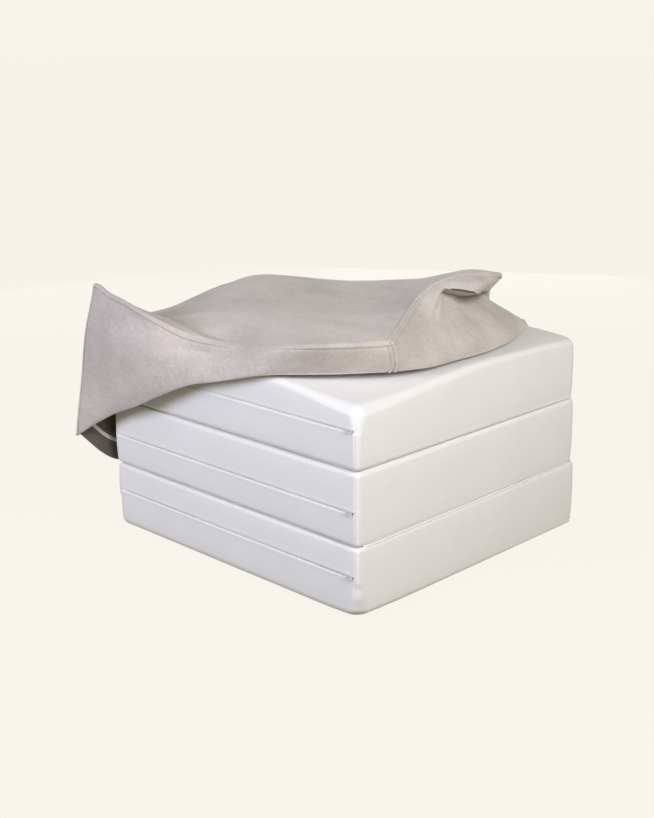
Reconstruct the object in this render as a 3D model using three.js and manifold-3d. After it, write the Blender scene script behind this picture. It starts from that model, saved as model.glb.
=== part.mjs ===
// Tri-fold foam futon mattress, folded into a stack of three blocks, with its loose outer cover thrown over
// the top. Millimetres, +Z up. The origin is the centre of the bottom block's underside. +X is the side of the
// lower fold, -Y is the side with the zips.
import * as THREE from "three";
import { mergeVertices } from "three/addons/utils/BufferGeometryUtils.js";
import Module from "manifold-3d";

const wasm = await Module();
wasm.setup();

// Driving dimensions
const BLOCK_WIDTH = 650; // X, one third of the unfolded length
const BLOCK_DEPTH = 630; // Y, the mattress's width
const BLOCK_PITCH = 130; // Z, one block's thickness in the stack
const GAP = 0.3; // clearance between touching pieces
const EDGE_RADIUS = 20; // rounding of the long edges of a block
const WRAP_THICKNESS = 2; // knit cover with its thin wadding
const PANEL_THICKNESS = 1.2; // knit end panel
const FOAM_CLEARANCE = 0.5;
const FOAM_END_CLEARANCE = 1; // between the foam and the zip tape
const ZIP_GAP = 5; // slit between the two front panels
const ZIP_TAPE = { width: 26, thickness: 0.8, margin: 14 };
const ZIP_COIL = { width: 3.6, proud: 0.2, bite: 0.4 }; // bite: how far its ridge reaches into the tape
const SLIDER = { length: 14, width: 8, plate: 1.3, offset: 0.6, inset: 12 };
const SLIDER_BRIDGE = { height: 3, width: 2.6, strap: 1.1, inset: 2 };
const GUSSET = { height: 44, thickness: 1, offset: 0.4, inset: 15 };
const CLOTH_THICKNESS = 3; // outer cover, backed upholstery weave
const HEM_TAPE = { thickness: 1.2, offset: -3.5, across: [0.8, 0.86], along: [0.03, 0.97], columns: 24 };
const CURVE_SEGMENTS = 6; // straight pieces in a quarter circle or a bowed edge
const MERGE_DISTANCE = 1e-3;

// Each block, from the floor up, with the height of its zip as a share of the block's height
const BLOCKS = [
  { name: "bottom", level: 0, zipShare: 0.58 },
  { name: "middle", level: 1, zipShare: 0.45 },
  { name: "top", level: 2, zipShare: 0.52 },
];

const KNIT = new THREE.MeshStandardMaterial({ color: 0xe9e8e6, roughness: 0.9, metalness: 0 });
const FOAM = new THREE.MeshStandardMaterial({ color: 0xf1e8cd, roughness: 1, metalness: 0 });
const TAPE = new THREE.MeshStandardMaterial({ color: 0xe4e3e0, roughness: 0.8, metalness: 0 });
const ZINC = new THREE.MeshStandardMaterial({ color: 0xb9b8b4, roughness: 0.45, metalness: 0.6 });
const WEAVE = new THREE.MeshStandardMaterial({ color: 0xc6bdb6, roughness: 0.95, metalness: 0 });
const BINDING = new THREE.MeshStandardMaterial({ color: 0xd8d2ca, roughness: 0.9, metalness: 0 });

function part(name, geometry, material) {
  const mesh = new THREE.Mesh(geometry, material);
  mesh.name = name;
  return mesh;
}

// ---- Shapes in the X-Z plane, and prisms made from them ----

// A rectangle whose lower and upper corners are rounded by their own radii.
function roundedRect(halfWidth, low, high, lowRadius, highRadius) {
  const shape = new THREE.Shape();
  shape.moveTo(-halfWidth + lowRadius, low);
  shape.lineTo(halfWidth - lowRadius, low);
  if (lowRadius) shape.absarc(halfWidth - lowRadius, low + lowRadius, lowRadius, -Math.PI / 2, 0);
  shape.lineTo(halfWidth, high - highRadius);
  if (highRadius) shape.absarc(halfWidth - highRadius, high - highRadius, highRadius, 0, Math.PI / 2);
  shape.lineTo(-halfWidth + highRadius, high);
  if (highRadius) shape.absarc(-halfWidth + highRadius, high - highRadius, highRadius, Math.PI / 2, Math.PI);
  shape.lineTo(-halfWidth, low + lowRadius);
  if (lowRadius) shape.absarc(-halfWidth + lowRadius, low + lowRadius, lowRadius, Math.PI, 1.5 * Math.PI);
  return shape;
}

// The solid between two planes of constant Y that has this X-Z outline.
function prism(shape, yFront, yRear) {
  const settings = { depth: yRear - yFront, bevelEnabled: false, curveSegments: CURVE_SEGMENTS };
  return new THREE.ExtrudeGeometry(shape, settings).rotateX(Math.PI / 2).translate(0, yRear, 0);
}

function box(x, y, z) {
  const [dx, dy, dz] = [x[1] - x[0], y[1] - y[0], z[1] - z[0]];
  return new THREE.BoxGeometry(dx, dy, dz).translate(x[0] + dx / 2, y[0] + dy / 2, z[0] + dz / 2);
}

// ---- Joining closed shapes ----

function solid(geometry) {
  const plain = geometry.clone();
  plain.deleteAttribute("normal");
  plain.deleteAttribute("uv");
  const merged = mergeVertices(plain, MERGE_DISTANCE);
  const triVerts = merged.index ? new Uint32Array(merged.index.array) : undefined;
  const vertProperties = merged.attributes.position.array;
  return new wasm.Manifold(new wasm.Mesh({ numProp: 3, vertProperties, triVerts }));
}

function joined(...geometries) {
  const whole = geometries.map(solid).reduce((a, b) => a.add(b));
  const mesh = whole.getMesh();
  const geometry = new THREE.BufferGeometry();
  geometry.setAttribute("position", new THREE.BufferAttribute(mesh.vertProperties, 3));
  geometry.setIndex(new THREE.BufferAttribute(mesh.triVerts, 1));
  geometry.computeVertexNormals();
  return geometry;
}

// ---- One mattress block ----

const FRONT = -BLOCK_DEPTH / 2;
const REAR = BLOCK_DEPTH / 2;
const HALF = BLOCK_WIDTH / 2;

function foamCore(block) {
  const inset = WRAP_THICKNESS + FOAM_CLEARANCE;
  const endInset = PANEL_THICKNESS + ZIP_TAPE.thickness + FOAM_END_CLEARANCE;
  const radius = EDGE_RADIUS - inset;
  const outline = roundedRect(HALF - inset, block.low + inset, block.high - inset, radius, radius);
  return part(`${block.name}_foam_core`, prism(outline, FRONT + endInset, REAR - endInset), FOAM);
}

// The knit that runs round the top, side, underside and other side of the foam in one piece.
function coverWrap(block) {
  const inner = WRAP_THICKNESS;
  const innerRadius = EDGE_RADIUS - inner;
  const outline = roundedRect(HALF, block.low, block.high, EDGE_RADIUS, EDGE_RADIUS);
  const hole = roundedRect(HALF - inner, block.low + inner, block.high - inner, innerRadius, innerRadius);
  outline.holes.push(hole);
  const end = PANEL_THICKNESS + GAP;
  return part(`${block.name}_cover_wrap`, prism(outline, FRONT + end, REAR - end), KNIT);
}

function frontLowerPanel(block) {
  const outline = roundedRect(HALF, block.low, block.zip - ZIP_GAP / 2, EDGE_RADIUS, 0);
  return part(`${block.name}_front_lower_panel`, prism(outline, FRONT, FRONT + PANEL_THICKNESS), KNIT);
}

function frontUpperPanel(block) {
  const outline = roundedRect(HALF, block.zip + ZIP_GAP / 2, block.high, 0, EDGE_RADIUS);
  return part(`${block.name}_front_upper_panel`, prism(outline, FRONT, FRONT + PANEL_THICKNESS), KNIT);
}

function rearPanel(block) {
  const outline = roundedRect(HALF, block.low, block.high, EDGE_RADIUS, EDGE_RADIUS);
  return part(`${block.name}_rear_panel`, prism(outline, REAR - PANEL_THICKNESS, REAR), KNIT);
}

// Two tapes and their coil, closed: a flat strip behind the panels with a ridge that fills the slit.
function zipChain(block) {
  const reach = HALF - ZIP_TAPE.margin;
  const back = FRONT + PANEL_THICKNESS + GAP;
  const half = ZIP_TAPE.width / 2;
  const coil = ZIP_COIL.width / 2;
  const tape = box([-reach, reach], [back, back + ZIP_TAPE.thickness], [block.zip - half, block.zip + half]);
  const ridgeDepth = [FRONT - ZIP_COIL.proud, back + ZIP_COIL.bite];
  const ridge = box([-reach, reach], ridgeDepth, [block.zip - coil, block.zip + coil]);
  return part(`${block.name}_zip_chain`, joined(tape, ridge), TAPE);
}

// Zip slider with a low bridge and no pull tab, parked at the closed end beside the front corner.
function zipSlider(block) {
  const centre = HALF - SLIDER.inset - SLIDER.length / 2;
  const face = FRONT - SLIDER.offset;
  const plate = box(
    [centre - SLIDER.length / 2, centre + SLIDER.length / 2],
    [face - SLIDER.plate, face],
    [block.zip - SLIDER.width / 2, block.zip + SLIDER.width / 2],
  );
  // The bridge is a bowed strap with its feet in the plate, drawn with Y away from the block.
  const { height, width, strap: thickness, inset } = SLIDER_BRIDGE;
  const reach = SLIDER.length / 2 - inset;
  const foot = SLIDER.plate / 2 - face;
  const top = SLIDER.plate + 2 * height - face;
  const strap = new THREE.Shape();
  strap.moveTo(centre - reach, foot);
  strap.quadraticCurveTo(centre, top, centre + reach, foot);
  strap.lineTo(centre + reach - thickness, foot);
  strap.quadraticCurveTo(centre, top - 2 * thickness, centre - reach + thickness, foot);
  strap.closePath();
  const settings = { depth: width, bevelEnabled: false, curveSegments: CURVE_SEGMENTS };
  const bridge = new THREE.ExtrudeGeometry(strap, settings).rotateX(Math.PI);
  bridge.translate(0, 0, block.zip + width / 2);
  return part(`${block.name}_zip_slider`, joined(plate, bridge), ZINC);
}

function mattressBlock({ name, level, zipShare }) {
  const low = level * BLOCK_PITCH;
  const high = low + BLOCK_PITCH - GAP;
  const block = { name, low, high, zip: low + zipShare * BLOCK_PITCH };
  const group = new THREE.Group();
  group.add(foamCore(block), coverWrap(block), frontLowerPanel(block), frontUpperPanel(block));
  group.add(rearPanel(block), zipChain(block), zipSlider(block));
  return group;
}

// A strip of knit across the groove between two blocks, on the side where they are joined.
function hingeGusset(name, level, side) {
  const near = side * (HALF + GUSSET.offset);
  const far = side * (HALF + GUSSET.offset + GUSSET.thickness);
  const middle = level * BLOCK_PITCH;
  const x = [Math.min(near, far), Math.max(near, far)];
  const y = [FRONT + GUSSET.inset, REAR - GUSSET.inset];
  const strip = box(x, y, [middle - GUSSET.height / 2, middle + GUSSET.height / 2]);
  return part(name, strip, KNIT);
}

// ---- Outer cover ----
// Each panel is a net of points on its middle surface, joined by smooth curves both ways. Rows run from the
// panel's top edge to its far edge; neighbouring panels share the points of their common seam.

const TOP_NET = [
  [
    [-325, -347, 483], [-213, -363, 476], [-119, -367, 457], [-53, -334, 428], [39, -311, 425],
    [157, -315, 443], [233, -272, 449], [275, -183, 445],
  ],
  [
    [-351, -238, 409], [-265, -235, 408], [-170, -228, 416], [-65, -215, 424], [35, -197, 428],
    [112, -172, 433], [180, -140, 444], [238, -98, 469],
  ],
  [
    [-352, -125, 406], [-262, -118, 434], [-165, -105, 446], [-60, -90, 436], [35, -74, 430],
    [105, -55, 436], [162, -38, 456], [213, -28, 492],
  ],
  [
    [-352, 0, 426], [-262, 10, 446], [-160, 30, 459], [-55, 50, 456], [40, 65, 454], [108, 75, 462],
    [165, 70, 484], [214, 50, 513],
  ],
  [
    [-352, 130, 420], [-258, 145, 432], [-160, 165, 444], [-55, 180, 462], [35, 190, 477],
    [105, 190, 493], [172, 178, 509], [236, 152, 519],
  ],
  [
    [-351, 235, 404], [-260, 250, 406], [-163, 262, 410], [-60, 268, 414], [20, 270, 420],
    [75, 268, 427], [115, 260, 431], [150, 250, 433],
  ],
  [
    [-350, 295, 398], [-262, 306, 401], [-164, 312, 402], [-62, 316, 402], [20, 319, 402],
    [85, 321, 402], [138, 322, 401], [185, 323, 400],
  ],
  [
    [-350, 334, 386], [-262, 338, 386], [-165, 341, 386], [-65, 342, 384], [20, 344, 378],
    [95, 346, 364], [160, 347, 345], [222, 348, 322],
  ],
];

const FRONT_NET = [
  TOP_NET[0],
  [
    [-348, -352, 395], [-228, -375, 402], [-131, -376, 402], [-63, -345, 401], [36, -325, 411],
    [151, -323, 432], [225, -272, 434], [280, -181, 428],
  ],
  [
    [-373, -350, 302], [-266, -363, 317], [-157, -371, 344], [-64, -351, 373], [37, -337, 396],
    [141, -325, 413], [215, -261, 413], [279, -175, 411],
  ],
  [
    [-385, -362, 191], [-298, -354, 240], [-182, -360, 289], [-65, -352, 341], [34, -343, 368],
    [128, -326, 393], [208, -246, 394], [270, -170, 394],
  ],
];

// From the seam: rolled lip, pocket under the lip, swell below the pocket, hem. Columns run from front to
// rear.
const RIGHT_NET = [
  [...TOP_NET.slice(0, 7).map((row) => row[7]), [205, 338, 360], TOP_NET[7][7]],
  [
    [280, -181, 428], [256, -90, 460], [240, -25, 484], [250, 45, 498], [258, 138, 502],
    [172, 252, 427], [200, 325, 400], [222, 344, 332], [226, 353, 250],
  ],
  [
    [281, -178, 419], [268, -86, 447], [258, -20, 466], [236, 52, 482], [214, 150, 462],
    [190, 258, 418], [216, 326, 400], [243, 350, 305], [229, 357, 180],
  ],
  [
    [279, -175, 411], [282, -82, 428], [280, -10, 446], [264, 72, 458], [232, 172, 426],
    [208, 264, 408], [234, 326, 400], [262, 353, 280], [231, 360, 105],
  ],
  [
    [270, -170, 394], [286, -85, 394], [290, 0, 394], [288, 90, 394], [266, 180, 394], [232, 266, 395],
    [252, 323, 399], [283, 354, 250], [232, 362, 32],
  ],
];

const REAR_NET = [
  TOP_NET[7],
  [
    [-352, 352, 290], [-262, 350, 290], [-165, 360, 288], [-65, 352, 285], [22, 362, 280],
    [96, 354, 262], [162, 362, 248], [226, 354, 225],
  ],
  [
    [-353, 358, 190], [-262, 350, 188], [-165, 366, 186], [-65, 352, 182], [24, 368, 176],
    [98, 355, 162], [164, 367, 148], [229, 358, 128],
  ],
  [
    [-352, 362, 82], [-262, 352, 78], [-165, 370, 80], [-65, 354, 76], [24, 372, 72], [100, 356, 60],
    [165, 370, 48], [232, 362, 32],
  ],
];

const LEFT_NET = [
  TOP_NET.map((row) => row[0]),
  [
    [-348, -352, 395], [-359, -262, 345], [-364, -140, 330], [-364, -5, 335], [-364, 130, 330],
    [-364, 235, 325], [-360, 300, 310], [-352, 352, 290],
  ],
  [
    [-373, -350, 302], [-359, -280, 230], [-368, -150, 215], [-370, -5, 212], [-370, 130, 208],
    [-368, 240, 204], [-362, 305, 198], [-353, 358, 190],
  ],
  [
    [-385, -362, 191], [-345, -300, 128], [-360, -155, 92], [-368, -5, 84], [-366, 130, 80],
    [-364, 245, 80], [-358, 310, 80], [-352, 362, 82],
  ],
];

const asCurve = (points) => new THREE.CatmullRomCurve3(points, false, "catmullrom", 0.5);

// Point of a net at u along its rows and v across them, both from 0 to 1.
function netPoint(rowCurves, u, v) {
  return asCurve(rowCurves.map((curve) => curve.getPoint(u))).getPoint(v);
}

const PROBE = 1e-3; // share of a net to either side of a point between which its slope is taken

// A grid of middle-surface points between the given shares of the net, with the surface's normal at each.
function sampleNet(net, [u0, u1], [v0, v1], columns, rows) {
  const rowCurves = net.map((row) => asCurve(row.map((p) => new THREE.Vector3(...p))));
  const at = (u, v) => netPoint(rowCurves, Math.min(Math.max(u, 0), 1), Math.min(Math.max(v, 0), 1));
  const samples = [];
  for (let j = 0; j <= rows; j++) {
    for (let i = 0; i <= columns; i++) {
      const u = u0 + ((u1 - u0) * i) / columns;
      const v = v0 + ((v1 - v0) * j) / rows;
      const alongRow = at(u + PROBE, v).sub(at(u - PROBE, v));
      const across = at(u, v + PROBE).sub(at(u, v - PROBE));
      samples.push({ point: at(u, v), normal: alongRow.cross(across).normalize() });
    }
  }
  return samples;
}

// A closed sheet of even thickness about a sampled net, moved along its normals by offset.
function sheet(samples, columns, rows, thickness, offset = 0) {
  const stride = columns + 1;
  const count = samples.length;
  const positions = [];
  for (const side of [0.5, -0.5])
    for (const { point, normal } of samples) {
      const moved = point.clone().addScaledVector(normal, offset + side * thickness);
      positions.push(moved.x, moved.y, moved.z);
    }
  const faces = [];
  const quad = (a, b, c, d) => faces.push(a, b, c, a, c, d);
  for (let j = 0; j < rows; j++)
    for (let i = 0; i < columns; i++) {
      const a = j * stride + i;
      quad(a, a + 1, a + 1 + stride, a + stride);
      quad(count + a, count + a + stride, count + a + 1 + stride, count + a + 1);
    }
  const border = [];
  for (let i = 0; i < columns; i++) border.push(i);
  for (let j = 0; j < rows; j++) border.push(j * stride + columns);
  for (let i = columns; i > 0; i--) border.push(rows * stride + i);
  for (let j = rows; j > 0; j--) border.push(j * stride);
  border.forEach((a, k) => {
    const b = border[(k + 1) % border.length];
    quad(a, a + count, b + count, b);
  });
  const geometry = new THREE.BufferGeometry();
  geometry.setAttribute("position", new THREE.Float32BufferAttribute(positions, 3));
  geometry.setIndex(faces);
  geometry.computeVertexNormals();
  return geometry;
}

// The cover's panels. u and v are the shares of its net that a panel fills, along its rows and across them,
// which keep it clear of its neighbours at the seams.
const COVER_PANELS = [
  { name: "cover_top_panel", net: TOP_NET, u: [0.008, 0.992], v: [0.008, 0.985], columns: 22, rows: 22 },
  { name: "cover_front_border", net: FRONT_NET, u: [0.008, 0.992], v: [0.03, 1], columns: 24, rows: 8 },
  { name: "cover_right_border", net: RIGHT_NET, u: [0.008, 0.978], v: [0.07, 1], columns: 26, rows: 12 },
  { name: "cover_rear_border", net: REAR_NET, u: [0.008, 0.985], v: [0.02, 1], columns: 24, rows: 8 },
  { name: "cover_left_border", net: LEFT_NET, u: [0.01, 0.99], v: [0.02, 1], columns: 24, rows: 8 },
];

function coverPanel({ name, net, u, v, columns, rows }) {
  return part(name, sheet(sampleNet(net, u, v, columns, rows), columns, rows, CLOTH_THICKNESS), WEAVE);
}

// The pale bound edge of the turned-in hem, inside the panel that hangs over the left side.
function hemTape() {
  const { thickness, offset, across, along, columns } = HEM_TAPE;
  const samples = sampleNet(LEFT_NET, along, across, columns, 1);
  return part("cover_hem_tape", sheet(samples, columns, 1, thickness, offset), BINDING);
}

function outerCover() {
  const group = new THREE.Group();
  COVER_PANELS.forEach((panel) => group.add(coverPanel(panel)));
  group.add(hemTape());
  return group;
}

const futon = new THREE.Group();
BLOCKS.forEach((block) => futon.add(mattressBlock(block)));
futon.add(hingeGusset("lower_hinge_gusset", 1, 1), hingeGusset("upper_hinge_gusset", 2, -1));
futon.add(outerCover());

export default futon;
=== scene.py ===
"""Looks for the tri-fold foam mattress: padded knit covers, concealed zips and a loose woven outer cover."""
import math

import bmesh
import bpy
import numpy as np
from mathutils import Matrix, Vector, noise


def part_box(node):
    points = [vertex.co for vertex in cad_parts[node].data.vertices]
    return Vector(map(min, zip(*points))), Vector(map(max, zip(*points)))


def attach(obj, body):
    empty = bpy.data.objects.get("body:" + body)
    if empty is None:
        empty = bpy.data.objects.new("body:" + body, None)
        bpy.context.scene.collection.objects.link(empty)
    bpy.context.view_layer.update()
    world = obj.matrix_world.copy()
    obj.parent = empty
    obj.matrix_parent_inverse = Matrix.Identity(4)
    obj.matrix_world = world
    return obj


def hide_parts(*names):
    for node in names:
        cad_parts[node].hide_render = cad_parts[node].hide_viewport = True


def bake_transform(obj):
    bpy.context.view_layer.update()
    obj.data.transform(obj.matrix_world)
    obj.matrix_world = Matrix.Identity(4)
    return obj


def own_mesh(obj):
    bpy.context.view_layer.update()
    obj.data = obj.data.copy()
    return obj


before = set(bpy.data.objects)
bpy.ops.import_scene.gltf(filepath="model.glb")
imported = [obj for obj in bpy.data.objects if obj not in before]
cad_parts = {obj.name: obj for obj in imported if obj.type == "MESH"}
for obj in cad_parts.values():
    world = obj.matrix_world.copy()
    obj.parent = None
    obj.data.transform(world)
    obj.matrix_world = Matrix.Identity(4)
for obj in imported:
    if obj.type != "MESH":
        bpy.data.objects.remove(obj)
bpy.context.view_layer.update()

MM = 0.001
BLOCKS = ("bottom", "middle", "top")


# ---------------------------------------------------------------- helpers

def mesh_object(name, verts, faces, smooth=True):
    mesh = bpy.data.meshes.new(name)
    mesh.from_pydata([tuple(v) for v in verts], [], [tuple(int(i) for i in f) for f in faces])
    mesh.validate()
    if smooth:
        mesh.shade_smooth()
    obj = bpy.data.objects.new(name, mesh)
    bpy.context.scene.collection.objects.link(obj)
    return obj


def use_material(obj, material):
    obj.data.materials.clear()
    obj.data.materials.append(material)


def bell(distance, width):
    """1 at distance 0, falling smoothly to nothing a few widths away."""
    return np.exp(-(np.asarray(distance) / width) ** 2)


def soft_noise(points, wavelength, seed=0.0):
    """Smooth noise from about -1 to 1 at each point, with features about wavelength apart."""
    offset = Vector((seed, 1.7 * seed, -0.6 * seed))
    return np.array([noise.noise(Vector(p) / wavelength + offset) for p in points])


def catmull(points, t):
    """Points at t (0 to 1) on the smooth curve through these points, evenly spread by point number."""
    p = np.asarray(points, float)
    n = len(p)
    ends = np.vstack([2 * p[0] - p[1], p, 2 * p[-1] - p[-2]])
    s = np.clip(np.asarray(t, float) * (n - 1), 0, n - 1 - 1e-9)
    k = s.astype(int)
    f = (s - k)[:, None]
    a, b, c, d = ends[k], ends[k + 1], ends[k + 2], ends[k + 3]
    return 0.5 * (2 * b + (c - a) * f + (2 * a - 5 * b + 4 * c - d) * f**2 + (3 * b - a - 3 * c + d) * f**3)


NEAR_EDGE = np.array([0, 0.8, 1.6, 2.4, 3.2, 4.2, 5.2, 6.2, 7.2, 8.2, 9.2, 10.5, 12, 14, 17, 21]) * MM


def spread(length, step):
    """Shares from 0 to 1 along a length, about a step apart but close together near both ends."""
    middle = np.arange(NEAR_EDGE[-1] + step, length - NEAR_EDGE[-1] - step / 2, step)
    return np.r_[NEAR_EDGE, middle, (length - NEAR_EDGE)[::-1]] / length


def even_catmull(points, t):
    """The same curve with t spread evenly along its length."""
    fine = np.linspace(0, 1, 40 * len(points))
    steps = np.linalg.norm(np.diff(catmull(points, fine), axis=0), axis=1)
    length = np.r_[0, np.cumsum(steps)]
    return catmull(points, np.interp(np.asarray(t) * length[-1], length, fine))


def net_grid(net, step):
    """A grid of points on the smooth surface through a net, rows x columns x 3, in metres."""
    matched = len({len(row) for row in net}) == 1
    along = catmull if matched else even_catmull
    rough = np.array([along(row, np.linspace(0, 1, 30)) for row in net]) * MM
    width = np.linalg.norm(np.diff(rough, axis=1), axis=2).sum(axis=1).mean()
    depth = np.linalg.norm(np.diff(rough, axis=0), axis=2).sum(axis=0).mean()
    u, v = spread(width, step), spread(depth, step)
    lines = np.array([along(row, u) for row in net])
    return np.stack([catmull(lines[:, i], v) for i in range(len(u))], axis=1) * MM


def edge_distance(grid, axis, end):
    """Distance of each grid point from one edge of the grid, measured along the cloth."""
    steps = np.linalg.norm(np.diff(grid, axis=axis), axis=2)
    along = np.cumsum(steps, axis=axis)
    along = np.concatenate([np.zeros_like(np.take(along, [0], axis=axis)), along], axis=axis)
    return np.take(along, [-1], axis=axis) - along if end else along


def grid_normals(grid):
    """Unit normals of a grid: the direction along its rows crossed with the one down its columns."""
    du = np.gradient(grid, axis=1)
    dv = np.gradient(grid, axis=0)
    n = np.cross(du, dv)
    return n / np.maximum(np.linalg.norm(n, axis=2, keepdims=True), 1e-12)


def mark_sharp(obj, lines):
    """Mark the edges along each of these lines of vertices as sharp."""
    ends = np.empty(2 * len(obj.data.edges), int)
    obj.data.edges.foreach_get("vertices", ends)
    ends = ends.reshape(-1, 2)
    sharp = np.zeros(len(ends), bool)
    for line in lines:
        sharp |= np.isin(ends, line).all(1)
    obj.data.attributes.new("sharp_edge", "BOOLEAN", "EDGE").data.foreach_set("value", sharp)


def sheet_mesh(name, grid, thickness, normals=None, cut=()):
    """A closed sheet about a grid of middle points, with a rounded rim.

    Cut lists the first (0) or last (-1) column where another piece of the same cloth carries on. There
    the end is flat and shades as one with that piece.
    """
    rows, columns, _ = grid.shape
    n = grid_normals(grid) if normals is None else normals
    front = (grid + n * thickness / 2).reshape(-1, 3)
    back = (grid - n * thickness / 2).reshape(-1, 3)
    index = np.arange(rows * columns).reshape(rows, columns)
    a, b = index[:-1, :-1].ravel(), index[:-1, 1:].ravel()
    c, d = index[1:, 1:].ravel(), index[1:, :-1].ravel()
    count = rows * columns
    faces = [np.stack([a, b, c, d], 1), np.stack([a, d, c, b], 1) + count]
    ring = np.r_[index[0, :-1], index[:-1, -1], index[-1, :0:-1], index[:0:-1, 0]]
    inner = np.r_[index[1, :-1], index[:-1, -2], index[-2, :0:-1], index[:0:-1, 1]]
    flat = grid.reshape(-1, 3)
    out = flat[ring] - flat[inner]
    out /= np.maximum(np.linalg.norm(out, axis=1, keepdims=True), 1e-9)
    joined = [index[:, column] for column in cut]
    for column in joined:
        out[np.isin(ring, column)] = 0
    rim = flat[ring] + out * thickness / 2
    rim_index = 2 * count + np.arange(len(ring))
    nxt = np.roll(np.arange(len(ring)), -1)
    faces.append(np.stack([ring, rim_index, rim_index[nxt], ring[nxt]], 1))
    faces.append(np.stack([rim_index, ring + count, ring[nxt] + count, rim_index[nxt]], 1))
    obj = mesh_object(name, np.vstack([front, back, rim]), np.vstack(faces))
    if joined:
        mark_sharp(obj, joined + [column + count for column in joined])
    return obj


# ---------------------------------------------------------------- materials

def nodes_of(name):
    material = bpy.data.materials.new(name)
    material.use_nodes = True
    tree = material.node_tree
    return material, tree, tree.nodes["Principled BSDF"]


def add(tree, kind, **inputs):
    node = tree.nodes.new(kind)
    for key, value in inputs.items():
        if key in node.inputs:
            node.inputs[key].default_value = value
        else:
            setattr(node, key, value)
    return node


def knit_material():
    """Fine white jersey: small loops in wales, a faint heather and a soft sheen."""
    material, tree, shader = nodes_of("knit")
    link = tree.links.new
    coords = add(tree, "ShaderNodeTexCoord")
    loops = add(tree, "ShaderNodeTexVoronoi", Scale=900.0)
    stretch = add(tree, "ShaderNodeMapping")
    stretch.inputs["Scale"].default_value = (1.0, 1.0, 1.6)
    link(coords.outputs["Object"], stretch.inputs["Vector"])
    link(stretch.outputs["Vector"], loops.inputs["Vector"])
    cloud = add(tree, "ShaderNodeTexNoise", Scale=14.0, Detail=3.0)
    link(coords.outputs["Object"], cloud.inputs["Vector"])
    tint = add(tree, "ShaderNodeMix", data_type="RGBA")
    tint.inputs["A"].default_value = (0.80, 0.79, 0.775, 1)
    tint.inputs["B"].default_value = (0.85, 0.845, 0.83, 1)
    link(cloud.outputs["Fac"], tint.inputs["Factor"])
    link(tint.outputs["Result"], shader.inputs["Base Color"])
    bump = add(tree, "ShaderNodeBump", Strength=0.10, Distance=0.0004)
    link(loops.outputs["Distance"], bump.inputs["Height"])
    link(bump.outputs["Normal"], shader.inputs["Normal"])
    shader.inputs["Roughness"].default_value = 0.88
    shader.inputs["Sheen Weight"].default_value = 0.15
    shader.inputs["Sheen Roughness"].default_value = 0.5
    return material


def yarn_noise(tree, coords, scale, detail=2.0):
    """Noise stretched into streaks: a low scale along an axis makes long streaks that way."""
    mapping = add(tree, "ShaderNodeMapping", Scale=scale)
    streaks = add(tree, "ShaderNodeTexNoise", Scale=1.0, Detail=detail, Roughness=0.6)
    tree.links.new(coords, mapping.inputs["Vector"])
    tree.links.new(mapping.outputs["Vector"], streaks.inputs["Vector"])
    return streaks.outputs["Fac"]


def weighted_sum(tree, terms):
    """The sum of each output times its weight."""
    total = None
    for output, weight in terms:
        node = add(tree, "ShaderNodeMath", operation="MULTIPLY_ADD")
        tree.links.new(output, node.inputs[0])
        node.inputs[1].default_value = weight
        node.inputs[2].default_value = 0.0
        if total is not None:
            tree.links.new(total, node.inputs[2])
        total = node.outputs[0]
    return total


def weave_material(name, dark, light):
    """Brushed melange weave: fine crossed yarns, long flecks of darker fibre and slow shade changes."""
    material, tree, shader = nodes_of(name)
    link = tree.links.new
    coords = add(tree, "ShaderNodeTexCoord").outputs["Object"]
    weft = yarn_noise(tree, coords, (150.0, 750.0, 750.0))
    warp = yarn_noise(tree, coords, (800.0, 800.0, 110.0))
    depth = yarn_noise(tree, coords, (800.0, 130.0, 800.0))
    flecks = yarn_noise(tree, coords, (110.0, 330.0, 210.0), 3.0)
    cloud = yarn_noise(tree, coords, (7.0, 11.0, 9.0), 4.0)
    yarns = weighted_sum(tree, ((weft, 0.34), (warp, 0.33), (depth, 0.33)))
    shade = weighted_sum(tree, ((yarns, 1.4), (flecks, 0.7), (cloud, 1.0)))
    spread_out = add(tree, "ShaderNodeMapRange")
    spread_out.inputs["From Min"].default_value = 1.12
    spread_out.inputs["From Max"].default_value = 1.98
    link(shade, spread_out.inputs["Value"])
    tint = add(tree, "ShaderNodeMix", data_type="RGBA")
    tint.inputs["A"].default_value = dark
    tint.inputs["B"].default_value = light
    link(spread_out.outputs["Result"], tint.inputs["Factor"])
    link(tint.outputs["Result"], shader.inputs["Base Color"])
    bump = add(tree, "ShaderNodeBump", Strength=0.5, Distance=0.0007)
    link(yarns, bump.inputs["Height"])
    link(bump.outputs["Normal"], shader.inputs["Normal"])
    shader.inputs["Roughness"].default_value = 0.93
    shader.inputs["Sheen Weight"].default_value = 0.2
    shader.inputs["Sheen Roughness"].default_value = 0.6
    return material


def plain_material(name, color, roughness, metallic=0.0, bump_scale=600.0, bump_strength=0.2):
    """An even material with a fine noise bump and a little colour variation."""
    material, tree, shader = nodes_of(name)
    link = tree.links.new
    coords = add(tree, "ShaderNodeTexCoord")
    grain = add(tree, "ShaderNodeTexNoise", Scale=bump_scale, Detail=2.0)
    link(coords.outputs["Object"], grain.inputs["Vector"])
    tint = add(tree, "ShaderNodeMix", data_type="RGBA")
    tint.inputs["A"].default_value = tuple(0.9 * c for c in color) + (1,)
    tint.inputs["B"].default_value = tuple(min(1.05 * c, 1) for c in color) + (1,)
    link(grain.outputs["Fac"], tint.inputs["Factor"])
    link(tint.outputs["Result"], shader.inputs["Base Color"])
    bump = add(tree, "ShaderNodeBump", Strength=bump_strength, Distance=0.0003)
    link(grain.outputs["Fac"], bump.inputs["Height"])
    link(bump.outputs["Normal"], shader.inputs["Normal"])
    shader.inputs["Roughness"].default_value = roughness
    shader.inputs["Metallic"].default_value = metallic
    return material


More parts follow.
